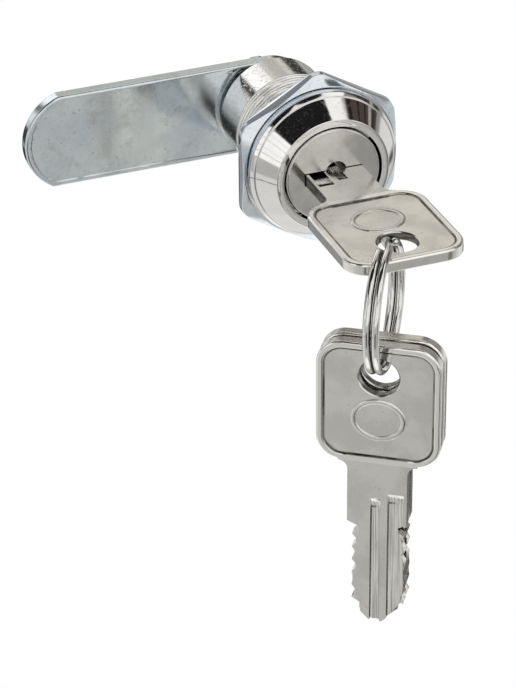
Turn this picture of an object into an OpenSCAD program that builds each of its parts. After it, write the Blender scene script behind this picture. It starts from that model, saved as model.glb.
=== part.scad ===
// Letter-box cam lock with its mounting nut, cam, wafers and a ring of keys.
// The lock axis runs along Y: the head faces -Y and the cam is at +Y. +Z is up.
// The origin is on the lock axis, where the back of the head seats on the door panel.

/* [Head] */
// Diameter of the head
head_d = 22.8; // [21.4:0.1:26]
// Diameter of the flat ring at the front of the head
face_d = 17.4; // [16.4:0.1:19]
// Length of the bevelled part of the head
bevel_len = 3.2; // [2.4:0.05:5]
// Width of the flared lip behind the bevel
lip_w = 0.6; // [0.3:0.05:1]
// Length of the flared lip
lip_len = 0.5; // [0.3:0.05:1]
// Length of the straight rim behind the lip
rim_len = 0.2; // [0.15:0.05:1]

/* [Barrel] */
// Outer diameter of the thread
thread_d = 17.2; // [17:0.1:18]
// Length of the thread behind the head
thread_len = 13.1; // [10:0.1:14]
// Bevel at the end of the thread
thread_bevel = 0.25; // [0.1:0.05:0.25]
// Diameter of the smooth barrel behind the thread
barrel_d = 16.5; // [16.2:0.1:16.5]
// Distance from the panel seat to the end of the barrel
barrel_len = 20.3; // [18.5:0.1:24]
// Bevel at the end of the barrel
barrel_bevel = 0.5; // [0.2:0.05:0.6]

/* [Plug] */
// Diameter of the plug's face
plug_face_d = 14.6; // [14:0.1:15.2]
// Thickness of the plug's face disc
plug_face_len = 3; // [2.4:0.1:3.4]
// Rounding of the face disc's front edge
plug_face_round = 0.4; // [0.2:0.05:0.8]
// Diameter of the plug's body
plug_d = 12.6; // [12.2:0.1:13]
// Side of the square tail that carries the cam
tail_side = 7; // [6:0.1:7.6]
// Diameter of the threaded stud at the end of the tail
stud_d = 6; // [5:0.1:6]
// Length of the stud that shows behind the cam nut
stud_proud = 1.2; // [0.6:0.1:3]
// Diameter of the round eye in the middle of the keyway
eye_d = 3.3; // [2.4:0.1:4]

/* [Wafers] */
// Thickness of a wafer
wafer_t = 1; // [0.8:0.05:1.2]
// Width of a wafer
wafer_w = 5; // [4.6:0.1:5.2]
// Distance from one wafer to the next, and from one key cut to the next
wafer_pitch = 2.2; // [2:0.05:2.4]
// How far a wafer comes out of the plug when the key is pulled
wafer_travel = 0.8; // [0.5:0.05:0.9]
// Outer diameter of a wafer spring
spring_d = 1; // [0.8:0.05:1]
// Wire diameter of a wafer spring
spring_wire = 0.2; // [0.15:0.01:0.22]
// Length of a wafer spring with the key in
spring_len = 1.9; // [1.5:0.05:2.2]

/* [Mounting nut] */
// Wall of the mounting nut, from the thread to the middle of a flat
nut_wall = 3.45; // [2.5:0.05:4]
// Thickness of the mounting nut
nut_t = 2.9; // [2.6:0.1:5]
// Gap between the head and the nut where the panel goes
panel_gap = 0.3; // [0.2:0.05:1]

/* [Cam] */
// Width of the cam
cam_w = 14.5; // [13:0.1:17]
// Distance from the lock axis to the tip of the cam
cam_reach = 38.4; // [32:0.1:60]
// Height of the arc at the tip of the cam
cam_tip_rise = 4.7; // [3:0.1:6]
// How far the tip's upper corner stands back behind its lower one
cam_tip_skew = 1.5; // [0:0.1:3]
// Thickness of the cam
cam_t = 2; // [1.5:0.1:3]
// Diameter of the stop washer
stop_d = 14; // [13:0.1:15]
// Thickness of the stop washer
stop_t = 0.7; // [0.5:0.05:1]
// Angle that the plug turns between its stops
turn_angle = 90; // [80:1:95]
// Distance across the flats of the cam nut
cam_nut_af = 10; // [9:0.5:11]
// Thickness of the cam nut
cam_nut_t = 3.2; // [2.5:0.1:5]
// Outer diameter of the cam's spring washer
lock_washer_d = 11; // [10:0.1:12]
// Thickness of the cam's spring washer
lock_washer_t = 1.2; // [0.8:0.1:1.6]

/* [Key] */
// Thickness of a key
key_t = 1.8; // [1.6:0.05:2]
// Width of the bow
bow_w = 17.9; // [16:0.1:22]
// Length of the bow
bow_l = 19.3; // [17:0.1:24]
// Corner radius of the bow
bow_corner = 3.8; // [2.5:0.1:5]
// Width of the raised rim round the bow
bow_rim = 1.1; // [0.8:0.05:1.6]
// Rounding of the raised rim
bow_rim_round = 0.35; // [0.2:0.05:0.5]
// Depth of the bow's panel below its rim
bow_panel_depth = 0.22; // [0.1:0.01:0.35]
// Diameter of the hole in the bow
bow_hole_d = 5.8; // [5.4:0.1:6.6]
// Distance from the end of the bow to the middle of its hole
bow_hole_in = 5.3; // [4.6:0.1:6]
// Width of the blade
blade_w = 8.65; // [8.2:0.05:8.9]
// Length of the blade
blade_l = 27; // [24:0.1:30]
// Depth of the milled grooves in the blade
groove_depth = 0.55; // [0.3:0.05:0.6]
// How far the blade's tip reaches behind the panel seat
blade_reach = 14.1; // [11.5:0.1:15]

/* [Key ring] */
// Diameter of the ring at the middle of its wire
ring_mid_d = 18; // [16.5:0.1:24]
// Diameter of the ring's wire
ring_wire = 1.15; // [0.9:0.05:1.2]
// Angle between the ring's plane and the lock axis, seen from above
hang_yaw = 35; // [20:1:45]
// How far the ring's plane lies to the left of the middle of the bow's hole
ring_left = 0.8; // [0.4:0.1:1.1]

/* [Clearances] */
// Running clearance of the plug in its bore, and of the nut on its thread
run_clear = 0.05; // [0.02:0.01:0.1]
// End play of the plug in the housing
end_play = 0.05; // [0.03:0.01:0.1]
// Gap round the plug's face
face_gap = 0.3; // [0.2:0.05:0.4]
// Clearance of flat sliding pieces: wafers in slots, key in keyway
slide_clear = 0.1; // [0.05:0.01:0.15]
// Clearance of holes on the square tail and the stud
tail_clear = 0.05; // [0.02:0.01:0.1]
// Gap between hanging pieces and what they hang on
hang_gap = 0.35; // [0.3:0.05:0.5]

/* [Hidden] */
$fn = 96;
over = 0.5;

// Depths along the lock axis, from the panel seat
head_len = bevel_len + lip_len + rim_len;
head_front = -head_len;
face_back = head_front + plug_face_len;
plug_end = barrel_len + end_play;
cam_front = plug_end + stop_t;
cam_back = cam_front + cam_t;
cam_nut_front = cam_back + lock_washer_t;
stud_end = cam_nut_front + cam_nut_t + stud_proud;
nut_front = panel_gap;
nut_af = thread_d + 2 * nut_wall;

// Plug and housing
plug_r = plug_d / 2;
bore_r = plug_r + run_clear;
recess_r = plug_face_d / 2 + face_gap;
wafer_r = plug_r - slide_clear / 2;
groove_r = wafer_r + wafer_travel + 3 * slide_clear;
groove_w = wafer_w + 4 * slide_clear;
eye_rise = 0.5;
eye_side = 0.4;

// Wafers, counted from the front; the last one meets the cut next to the key's tip
wafer_count = 5;
cut_first = 2.6;
wafer_last = blade_reach - cut_first;
function wafer_depth(i) = wafer_last - (wafer_count - 1 - i) * wafer_pitch;
function wafer_turn(i) = i % 2 == 0 ? 0 : 180;
slot_t = wafer_t + slide_clear;
ear_w = 1;
ear_rise = spring_d + 2 * slide_clear;
ear_top = wafer_w / 2 + ear_rise;
spring_seat = -ear_w / 2 - spring_len - 2 * slide_clear;
groove_end = wafer_last + wafer_t + slide_clear;

// Quarter-turn stop: a lug on the washer in a recess at the end of the barrel
lug_angle = 24;
lug_len = 1;
lug_in = plug_r + 2 * slide_clear;
lug_out = stop_d / 2;
stop_recess_r = lug_out + slide_clear;
stop_recess_len = lug_len + 2 * slide_clear;
stop_slack = 2;

// Key, with the middle of its bow hole at the origin and its blade along +Y
bow_front = -bow_hole_in;
bow_back = bow_l - bow_hole_in;
key_tip = bow_back + blade_l;
key_depth = blade_reach - key_tip;
blade_half = blade_w / 2;
neck_fillet = 1.4;
cut_flat = 0.7;
cuts_left = [1.15, 0.55, 0.3, 0.3, 0.75, 0.6, 1.35];
cuts_right = [1.95, 1.3, 0.9, 1.35, 1.2, 1.4, 1.7];
ridge_left = 0.2;
ridge_right = 0.75;
tip_half = 0.9;
tip_len = 1.3;
groove_cutter_r = 5;
wide_groove = [-3.9, -1.57];
wide_groove_start = 4.7;
narrow_groove = [-0.54, 0.92];
narrow_groove_start = 5.7;
back_groove = [1.7, 3.2];
hole_bevel = 0.2;
keyway_half_w = blade_half + 1.5 * slide_clear;
keyway_half_h = key_t / 2 + slide_clear;
keyway_end = blade_reach + 1.5;

// Ring: its plane holds the line "out" and +Z, and "side" is square to it
out_dir = [-sin(hang_yaw), -cos(hang_yaw)];
side_dir = [cos(hang_yaw), -sin(hang_yaw)];
wire_r = ring_wire / 2;
strand_gap = 0.05;
strand_pitch = ring_wire + strand_gap;
bow_hole_r = bow_hole_d / 2;
hole_chord = sqrt(pow(bow_hole_r, 2) - pow(ring_left, 2));
web_start = [0, key_depth] - ring_left * side_dir;
web_end_dist = (web_start[1] - (key_depth + bow_front)) / cos(hang_yaw);
web_half = (web_end_dist - hole_chord) / 2;
ring_xy = web_start + (hole_chord + web_half) * out_dir;
ring_in_r = ring_mid_d / 2 - wire_r;
ring_z = key_t / 2 + hang_gap - sqrt(pow(ring_in_r, 2) - pow(web_half, 2));
ring_low = ring_z - ring_mid_d / 2;
crank_angle = 24;
crank_place = 170;

// Spare keys, one behind the other on the lowest stretch of the ring, with room to swing
spare_gap = 0.7;
spare_side = -0.2;
spare_place = ring_xy + spare_side * side_dir;
spare_swing = 42;
swing_gap = 0.1;
ring_rise = ring_mid_d / 2 - sqrt(pow(ring_mid_d / 2, 2) - pow(spare_gap / 2 + key_t, 2));
swing_x = strand_pitch / 2 * cos(spare_swing) + ring_rise * sin(spare_swing) + abs(spare_side);
swing_z = strand_pitch / 2 * sin(spare_swing) + ring_rise * cos(spare_swing);
spare_drop = sqrt(pow(bow_hole_r - wire_r - swing_gap, 2) - pow(swing_x, 2)) - swing_z;

// Turns a piece drawn along +Z so that it lies along +Y, with its own -Y up
module along_lock(depth = 0) {
    rotate([-90, 0, 0]) translate([0, 0, depth]) children();
}

// A rectangle with true round corners, centred
module round_rect(w, l, r) {
    square([w - 2 * r, l], center = true);
    square([w, l - 2 * r], center = true);
    for (x = [-1, 1], y = [-1, 1])
        translate([x * (w / 2 - r), y * (l / 2 - r)]) circle(r);
}

// A hexagon nut blank standing on z = 0, with one or both faces chamfered
module hex_nut(af, t, bore_d, both = true) {
    corner_r = af / 2 / cos(30);
    land_r = af * 0.485;
    drop = (corner_r - land_r) * tan(30);
    top_drop = both ? drop : 0;
    difference() {
        intersection() {
            rotate(30) cylinder(r = corner_r, h = t, $fn = 6);
            rotate_extrude()
                polygon([
                    [0, 0], [land_r, 0], [corner_r, drop],
                    [corner_r, t - top_drop], if (both) [land_r, t], [0, t]
                ]);
        }
        translate([0, 0, -over]) cylinder(d = bore_d, h = t + 2 * over);
    }
}

// A round wire wound about Z: each station is [angle, height]
module wound_wire(mid_r, wire_radius, sides, stations) {
    count = len(stations);
    points = [
        for (s = stations, j = [0:sides - 1])
            let (a = 360 * j / sides, r = mid_r + wire_radius * cos(a))
            [r * cos(s[0]), r * sin(s[0]), s[1] + wire_radius * sin(a)]
    ];
    skin = [
        for (k = [0:count - 2], j = [0:sides - 1])
            let (n = (j + 1) % sides)
            [k * sides + j, k * sides + n, (k + 1) * sides + n, (k + 1) * sides + j]
    ];
    first_cap = [for (j = [sides - 1:-1:0]) j];
    last_cap = [for (j = [0:sides - 1]) (count - 1) * sides + j];
    polyhedron(points, concat(skin, [first_cap], [last_cap]), convexity = 6);
}

// A block between two angles of a ring, from z = 0 up
module ring_sector(r_in, r_out, h, from, to) {
    rotate(from)
        rotate_extrude(angle = to - from)
            translate([r_in, 0]) square([r_out - r_in, h]);
}

// Turned housing: bevelled head, thread blank and smooth barrel, bored for the plug
module lock_body() {
    recess_back = face_back + 2 * end_play;
    color("silver") along_lock()
        difference() {
            rotate_extrude()
                polygon([
                    [recess_r, head_front], [face_d / 2, head_front],
                    [head_d / 2 - lip_w, head_front + bevel_len], [head_d / 2, -rim_len], [head_d / 2, 0],
                    [thread_d / 2, 0], [thread_d / 2, thread_len - thread_bevel],
                    [thread_d / 2 - thread_bevel, thread_len], [barrel_d / 2, thread_len],
                    [barrel_d / 2, barrel_len - barrel_bevel],
                    [barrel_d / 2 - barrel_bevel, barrel_len],
                    [bore_r, barrel_len], [bore_r, recess_back], [recess_r, recess_back]
                ]);
            // Grooves that the wafers drop into, a quarter turn apart
            for (a = [0, 90])
                rotate(a)
                    intersection() {
                        translate([0, 0, recess_back - over])
                            cylinder(r = groove_r, h = groove_end - recess_back + over);
                        translate([-head_d, -groove_w / 2, head_front])
                            cube([2 * head_d, groove_w, head_len + barrel_len]);
                    }
            // Recess in which the stop lug travels
            translate([0, 0, barrel_len - stop_recess_len])
                ring_sector(bore_r - over, stop_recess_r, stop_recess_len + over,
                    90 - lug_angle / 2 - stop_slack, 90 + lug_angle / 2 + turn_angle + stop_slack);
        }
}

// Hexagon nut that clamps the door panel against the head
module mounting_nut() {
    color("lightsteelblue") along_lock(nut_front)
        hex_nut(nut_af, nut_t, thread_d + 2 * run_clear, false);
}

// Slot for one wafer, with the pocket for its ear and spring
module wafer_slot(i) {
    pocket_end = ear_w / 2 + wafer_travel + slide_clear;
    translate([0, 0, wafer_depth(i) - slot_t / 2]) rotate(wafer_turn(i)) {
        translate([-plug_d, -wafer_w / 2 - slide_clear, 0])
            cube([2 * plug_d, wafer_w + 2 * slide_clear, slot_t]);
        translate([spring_seat, 0, 0])
            cube([pocket_end - spring_seat, ear_top + slide_clear, slot_t]);
    }
}

// Turning plug: face disc, slotted body, square tail and threaded stud
module plug() {
    stud_bevel = 0.5;
    color("gainsboro") along_lock()
        difference() {
            union() {
                translate([0, 0, head_front]) rotate_extrude() {
                    square([plug_face_d / 2 - plug_face_round, plug_face_len]);
                    translate([0, plug_face_round])
                        square([plug_face_d / 2, plug_face_len - plug_face_round]);
                    translate([plug_face_d / 2 - plug_face_round, plug_face_round])
                        intersection() {
                            circle(plug_face_round);
                            translate([-plug_face_round, -plug_face_round])
                                square(2 * plug_face_round);
                        }
                }
                rotate_extrude()
                    polygon([
                        [0, face_back - over], [plug_r, face_back - over], [plug_r, plug_end],
                        [stud_d / 2, plug_end], [stud_d / 2, stud_end - stud_bevel],
                        [stud_d / 2 - stud_bevel, stud_end], [0, stud_end]
                    ]);
                translate([-tail_side / 2, -tail_side / 2, plug_end - over])
                    cube([tail_side, tail_side, cam_back - plug_end + over - 2 * slide_clear]);
            }
            translate([-keyway_half_w, -keyway_half_h, head_front - over])
                cube([2 * keyway_half_w, 2 * keyway_half_h, keyway_end - head_front + over]);
            translate([eye_side, -eye_rise, head_front - over])
                cylinder(d = eye_d, h = plug_face_len + over);
            for (i = [0:wafer_count - 1])
                wafer_slot(i);
        }
}

// Locking wafer: round ends, a window for the blade and an ear for its spring
module wafer(i) {
    window_h = 2 * keyway_half_h;
    window_near = -keyway_half_w - wafer_travel;
    color("goldenrod") along_lock(wafer_depth(i) - wafer_t / 2) rotate(wafer_turn(i))
        linear_extrude(wafer_t)
            difference() {
                union() {
                    intersection() {
                        circle(wafer_r);
                        square([plug_d, wafer_w], center = true);
                    }
                    translate([-ear_w / 2, 0]) square([ear_w, ear_top]);
                }
                translate([window_near, -window_h / 2])
                    square([keyway_half_w - window_near, window_h]);
            }
}

// Coil spring between the plug and the ear of one wafer
module wafer_spring(i) {
    turns = 4;
    steps = 10;
    coil_r = (spring_d - spring_wire) / 2;
    rise = spring_len - spring_wire;
    stations = [
        for (k = [0:turns * steps])
            [360 * k / steps, spring_wire / 2 + rise * k / (turns * steps)]
    ];
    color("dimgray") along_lock(wafer_depth(i)) rotate(wafer_turn(i))
        translate([spring_seat + slide_clear, wafer_w / 2 + ear_rise / 2 + slide_clear / 2, 0])
            rotate([0, 90, 0]) wound_wire(coil_r, spring_wire / 2, 6, stations);
}

// Washer on the square tail, with the lug that stops the plug after a quarter turn
module stop_washer() {
    hole = tail_side + 2 * tail_clear;
    color("darkgray") along_lock(plug_end)
        union() {
            difference() {
                cylinder(d = stop_d, h = stop_t);
                translate([-hole / 2, -hole / 2, -over]) cube([hole, hole, stop_t + 2 * over]);
            }
            translate([0, 0, -lug_len - end_play])
                ring_sector(lug_in, lug_out, lug_len + end_play + stop_t / 2,
                    90 - lug_angle / 2, 90 + lug_angle / 2);
        }
}

// Flat lever with an arched tip, clamped on the square tail
module cam() {
    hole = tail_side + 2 * tail_clear;
    half = cam_w / 2;
    chord_half = norm([half, cam_tip_skew / 2]);
    tip_r = (pow(chord_half, 2) + pow(cam_tip_rise, 2)) / (2 * cam_tip_rise);
    tip_lean = atan(cam_tip_skew / cam_w);
    tip_x = tip_r - cam_reach;
    tip_y = (tip_r - cam_tip_rise) * sin(tip_lean);
    color("lightgray") along_lock(cam_front)
        difference() {
            linear_extrude(cam_t) {
                circle(half);
                translate([tip_x, -half]) square([-tip_x, cam_w]);
                intersection() {
                    translate([tip_x, tip_y]) circle(tip_r);
                    translate([-2 * cam_reach, -half])
                        square([2 * cam_reach + tip_x + over, cam_w]);
                }
            }
            translate([-hole / 2, -hole / 2, -over]) cube([hole, hole, cam_t + 2 * over]);
        }
}

// Split spring washer between the cam and its nut
module cam_lock_washer() {
    slit = 1;
    slit_lean = 20;
    color("dimgray") along_lock(cam_back)
        difference() {
            cylinder(d = lock_washer_d, h = lock_washer_t);
            translate([0, 0, -over])
                cylinder(d = stud_d + 4 * tail_clear, h = lock_washer_t + 2 * over);
            translate([lock_washer_d / 2, 0, lock_washer_t / 2]) rotate([slit_lean, 0, 0])
                cube([lock_washer_d, slit, 4 * lock_washer_t], center = true);
        }
}

// Hexagon nut that holds the cam on the tail
module cam_nut() {
    color("lightgray") along_lock(cam_nut_front)
        hex_nut(cam_nut_af, cam_nut_t, stud_d + 2 * tail_clear);
}

// Section of the bow's raised rim, with rounded edges
module rim_section() {
    round_rect(bow_rim, key_t, bow_rim_round);
}

// Bow: a thin panel inside a raised rim
module bow() {
    side = bow_w / 2 - bow_corner;
    top = bow_l / 2 - bow_corner;
    run = bow_rim / 2;
    translate([0, (bow_front + bow_back) / 2, 0]) {
        translate([0, 0, bow_panel_depth - key_t / 2])
            linear_extrude(key_t - 2 * bow_panel_depth)
                round_rect(bow_w - bow_rim, bow_l - bow_rim, bow_corner - bow_rim / 2);
        for (corner = [[1, 1, 0], [-1, 1, 90], [-1, -1, 180], [1, -1, 270]])
            translate([corner[0] * side, corner[1] * top, 0]) rotate(corner[2])
                rotate_extrude(angle = 90)
                    translate([bow_corner - run, 0]) rim_section();
        for (a = [0, 180])
            rotate(a) {
                translate([bow_w / 2 - run, top, 0]) rotate([90, 0, 0])
                    linear_extrude(2 * top) rim_section();
                translate([-side, bow_l / 2 - run, 0]) rotate([90, 0, 90])
                    linear_extrude(2 * side) rim_section();
            }
    }
}

// One edge of the blade from the last cut to the tip, as distances from the middle
function edge(cuts, ridge) = [
    for (i = [len(cuts) - 1:-1:0])
        let (y = key_tip - cut_first - i * wafer_pitch, x = blade_half - cuts[i])
        each [
            [blade_half - (i == len(cuts) - 1 ? 0 : ridge), y - wafer_pitch / 2],
            [x, y - cut_flat / 2],
            [x, y + cut_flat / 2]
        ]
];
function swap_side(points) = [for (k = [len(points) - 1:-1:0]) [-points[k][0], points[k][1]]];

// Flat outline of the blade with its cuts, and the fillets where it joins the bow
module blade_outline() {
    right = edge(cuts_right, ridge_right);
    left = edge(cuts_left, ridge_left);
    root = bow_back - bow_rim;
    polygon(concat(
        [[blade_half, root]], right,
        [[tip_half + tip_len, key_tip - tip_len], [tip_half, key_tip]],
        [[-tip_half, key_tip], [-tip_half - tip_len, key_tip - tip_len]],
        swap_side(left), [[-blade_half, root]]
    ));
    for (s = [-1, 1])
        difference() {
            translate([s * (blade_half + neck_fillet / 2), bow_back + neck_fillet / 2 - bow_rim / 4])
                square([neck_fillet, neck_fillet + bow_rim / 2], center = true);
            translate([s * (blade_half + neck_fillet), bow_back + neck_fillet]) circle(neck_fillet);
        }
}

// Groove milled into the face at +Z, with the round run-out that its cutter leaves
module milled_groove(sides, start) {
    floor_z = key_t / 2 - groove_depth;
    run_out = sqrt(pow(groove_cutter_r, 2) - pow(groove_cutter_r - groove_depth, 2));
    width = sides[1] - sides[0];
    begin = bow_back + start + run_out;
    translate([sides[0], begin, floor_z]) cube([width, key_tip - begin + over, key_t]);
    translate([sides[0], begin, floor_z + groove_cutter_r]) rotate([0, 90, 0])
        cylinder(r = groove_cutter_r, h = width);
}

// Flat key with cuts on both edges
module key_shape() {
    difference() {
        union() {
            bow();
            translate([0, 0, -key_t / 2]) linear_extrude(key_t) blade_outline();
        }
        translate([0, 0, -key_t]) cylinder(r = bow_hole_r, h = 2 * key_t);
        for (m = [0, 1])
            mirror([0, 0, m])
                translate([0, 0, key_t / 2 - bow_panel_depth - hole_bevel])
                    cylinder(r1 = bow_hole_r, r2 = bow_hole_r + 2 * hole_bevel, h = 2 * hole_bevel);
        milled_groove(wide_groove, wide_groove_start);
        milled_groove(narrow_groove, narrow_groove_start);
        rotate([0, 180, 0]) milled_groove(back_groove, narrow_groove_start);
    }
}

// Key in the keyway, as far in as the photo shows
module key_in_lock() {
    color("lightgray") translate([0, key_depth, 0]) key_shape();
}

// A spare key hanging from the ring, blade down, its grooved face outwards
module spare_key(out) {
    place = spare_place + out * out_dir;
    color("lightgray") translate([place[0], place[1], ring_low - spare_drop])
        rotate([0, 0, 180 - hang_yaw]) rotate([-90, 0, 0]) key_shape();
}

module spare_key_front() {
    spare_key((key_t + spare_gap) / 2);
}

module spare_key_rear() {
    spare_key(-(key_t + spare_gap) / 2);
}

// Split ring: two flat turns joined by a short crank
module key_ring() {
    step = 9;
    half_crank = crank_angle / 2;
    stations = [
        for (a = [half_crank + 2:step:720 - half_crank - 2])
            let (t = max(-1, min(1, (a - 360) / half_crank)))
            [a + crank_place, t * strand_pitch / 2]
    ];
    color("lightgray") translate([ring_xy[0], ring_xy[1], ring_z])
        rotate([0, 0, -hang_yaw]) rotate([0, 90, 0])
            wound_wire(ring_mid_d / 2, wire_r, 10, stations);
}

lock_body();
mounting_nut();
plug();
wafer(0);  // wafer_1
wafer(1);  // wafer_2
wafer(2);  // wafer_3
wafer(3);  // wafer_4
wafer(4);  // wafer_5
wafer_spring(0);  // wafer_spring_1
wafer_spring(1);  // wafer_spring_2
wafer_spring(2);  // wafer_spring_3
wafer_spring(3);  // wafer_spring_4
wafer_spring(4);  // wafer_spring_5
stop_washer();
cam();
cam_lock_washer();
cam_nut();
key_in_lock();
spare_key_front();
spare_key_rear();
key_ring();
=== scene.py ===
"""Looks of a letter-box cam lock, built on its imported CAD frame.

The housing, nuts, cam, split ring, the ovals on the bows and the thread on the plug's tail are surfaces
worked out with numpy. The plug, the washers and the keys are merged copies of their CAD solids with
broken edges. Every finish is a procedural plated metal.
"""
import math

import bmesh
import bpy
import numpy as np
from mathutils import Matrix, Vector


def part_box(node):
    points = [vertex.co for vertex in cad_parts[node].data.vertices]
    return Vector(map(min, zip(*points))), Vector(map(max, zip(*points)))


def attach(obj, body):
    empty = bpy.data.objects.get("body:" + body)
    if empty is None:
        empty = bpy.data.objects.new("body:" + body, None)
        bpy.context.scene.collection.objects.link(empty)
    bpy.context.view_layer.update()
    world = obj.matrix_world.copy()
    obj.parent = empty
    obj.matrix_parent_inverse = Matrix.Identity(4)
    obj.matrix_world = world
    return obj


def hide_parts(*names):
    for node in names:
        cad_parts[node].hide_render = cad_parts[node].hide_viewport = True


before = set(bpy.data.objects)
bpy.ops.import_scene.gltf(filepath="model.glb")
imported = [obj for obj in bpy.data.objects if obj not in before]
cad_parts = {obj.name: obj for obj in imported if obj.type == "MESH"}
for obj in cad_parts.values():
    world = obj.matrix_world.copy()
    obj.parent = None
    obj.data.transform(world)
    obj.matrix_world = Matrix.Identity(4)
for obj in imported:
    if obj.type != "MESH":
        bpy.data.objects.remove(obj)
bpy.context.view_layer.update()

bl_info = {
    "name": "Cam lock finish",
    "version": (1, 0, 0),
    "blender": (4, 5, 0),
    "location": "View3D > Sidebar > Cam Lock",
    "description": "Plated housing, nuts, cam, keys and ring of a letter-box cam lock",
    "category": "Object",
}

MM = 0.001
IMAGE_LONG_SIDE = 688
SENSOR_MM = 36.0
WELD = 1e-7

BODY_LOW, BODY_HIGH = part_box("lock_body")
NUT_LOW, NUT_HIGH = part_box("mounting_nut")
CAM_LOW, CAM_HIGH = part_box("cam")
CAM_NUT_LOW, CAM_NUT_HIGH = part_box("cam_nut")
RING_LOW, RING_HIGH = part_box("key_ring")
PLUG_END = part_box("plug")[1].y

# Largest share of a side that a round corner takes up
ROUND_LIMIT = 0.45

# Housing: slope of the step before the lip, land beside the stop recess, the recess's angles, and the
# thread's ends, the span over which it fades in and out, and where its wave leaves crest and root
LIP_SLOPE = 0.02 * MM
STOP_LAND = 0.3 * MM
STOP_FROM, STOP_TO = math.radians(76), math.radians(194)
THREAD_START, THREAD_STOP = 0.15 * MM, 0.1 * MM
THREAD_FADE_IN, THREAD_FADE_OUT = 0.5 * MM, 0.35 * MM
THREAD_FLANK = (0.12, 0.9)

# Nuts: exponent of the soft corner, chamfer, lead into the bore, where the crown is highest between
# front and back, and the broken edge at the mounting nut's back, inwards and forwards
HEX_SIDES = 6
CORNER_POWER = 150
NUT_CHAMFER = math.radians(28)
NUT_LEAD = 0.3 * MM
CROWN_FRONT, CROWN_BACK = 0.35, 0.65
NUT_BACK_IN, NUT_BACK_LENGTH = 0.2 * MM, 0.15 * MM

# Thread on the plug's tail: start inside the nut, fade, depth below the tail and depth of its edges
STUD_OVERLAP = 0.3 * MM
STUD_FADE = 0.3 * MM
STUD_SINK, STUD_EDGE_SINK = 0.02 * MM, 0.4 * MM
STUD_FLANK = (0.1, 0.9)

# Width of the cam's edge section, rise of the oval's bead over the panel's depth, gap between the ring's
# ends and the crank, and length and taper of those ends
CAM_INSET = 0.95 * MM
OVAL_RISE = 0.75
RING_GAP = math.radians(2)
END_LENGTH, END_TAPER = 0.5, 0.9

# Broken edges of the plug and of the washers
PLUG_EDGE, WASHER_EDGE = 0.05 * MM, 0.06 * MM


# Settings

def length(name, description, millimetres):
    """A length that is written in millimetres and kept in metres."""
    return bpy.props.FloatProperty(
        name=name, description=description, default=millimetres * MM, unit="LENGTH", precision=6)


def turn(name, description, degrees):
    """An angle that is written in degrees and kept in radians."""
    return bpy.props.FloatProperty(
        name=name, description=description, default=math.radians(degrees), subtype="ANGLE")


def share(name, description, default):
    """A plain number such as a roughness or a strength."""
    return bpy.props.FloatProperty(
        name=name, description=description, default=default, subtype="FACTOR", min=0.0)


def colour(name, description, default):
    """A linear colour."""
    return bpy.props.FloatVectorProperty(
        name=name, description=description, default=default, size=3, subtype="COLOR",
        min=0.0, max=1.0)


class HousingSizes(bpy.types.PropertyGroup):
    """Turned housing: bevelled head, thread and barrel."""
    face_radius: length("Face radius", "Outer radius of the flat ring on the head", 8.7)
    recess_radius: length("Recess radius", "Radius of the recess round the plug", 7.6)
    recess_back: length("Recess back", "Place of the recess floor on the lock axis", -0.8)
    bevel_length: length("Bevel length", "Length of the head's bevel", 3.2)
    lip_width: length("Lip width", "Width of the flared lip behind the bevel", 0.6)
    lip_step: length("Lip step", "Flat step between the bevel and the lip", 0.18)
    rim_length: length("Rim length", "Straight rim behind the lip", 0.12)
    thread_radius: length("Thread radius", "Outer radius of the thread", 8.6)
    thread_length: length("Thread length", "Length of the thread behind the head", 13.1)
    thread_pitch: length("Thread pitch", "Distance from one thread crest to the next", 0.75)
    thread_depth: length("Thread depth", "Depth of the thread", 0.36)
    thread_bevel: length("Thread bevel", "Bevel at the end of the thread", 0.25)
    barrel_radius: length("Barrel radius", "Radius of the smooth barrel", 8.25)
    barrel_bevel: length("Barrel bevel", "Bevel at the end of the barrel", 0.5)
    bore_radius: length("Bore radius", "Radius of the bore for the plug", 6.35)
    pocket_radius: length("Pocket radius", "Outer radius of the wafer pockets", 7.35)
    pocket_end: length("Pocket end", "Place where the wafer pockets end", 12.6)
    pocket_half: turn("Pocket half angle", "Half the angle of one wafer pocket", 25.0)
    stop_radius: length("Stop radius", "Outer radius of the stop recess", 7.1)
    stop_depth: length("Stop depth", "Depth of the stop recess", 1.2)
    edge_round: length("Edge rounding", "Rounding of the turned edges", 0.12)


class NutSizes(bpy.types.PropertyGroup):
    """Hexagon nuts on the housing and on the cam stud."""
    bore_radius: length("Bore radius", "Bore of the mounting nut", 8.65)
    stud_bore_radius: length("Stud bore radius", "Bore of the cam nut", 3.05)
    corner_radius: length(
        "Corner radius", "Radius to which the mounting nut's corners are turned", 13.45)
    stud_corner_radius: length(
        "Stud corner radius", "Radius to which the cam nut's corners are turned", 5.35)
    collar_radius: length("Collar radius", "Radius of the collar on the mounting nut's front", 11.2)
    collar_height: length("Collar height", "Height of that collar", 0.65)
    crown: length("Crown", "How far the mounting nut's flats stand out in their middle", 0.08)
    land_share: share("Land share", "Radius of the flat land over the apothem", 0.975)
    edge_round: length("Edge rounding", "Rounding of the nut's edges", 0.1)
    stud_radius: length("Stud radius", "Radius of the plug's threaded tail", 3.0)
    stud_pitch: length("Stud pitch", "Distance from one crest of the tail's thread to the next", 0.7)
    stud_depth: length("Stud depth", "Height of that thread above the tail", 0.16)
    stud_bevel: length("Stud bevel", "Plain end of the tail behind its thread", 0.45)


class CamSizes(bpy.types.PropertyGroup):
    """Flat cam with an arched tip."""
    tip_rise: length("Tip rise", "Height of the arc at the tip", 4.7)
    tip_skew: length("Tip skew", "How far the tip's upper corner stands back behind its lower one", 1.5)
    hole_side: length("Hole side", "Side of the square hole", 7.1)
    front_round: length("Front rounding", "Rolled edge that the punch leaves", 0.42)
    back_round: length("Back rounding", "Broken edge at the back", 0.25)


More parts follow.
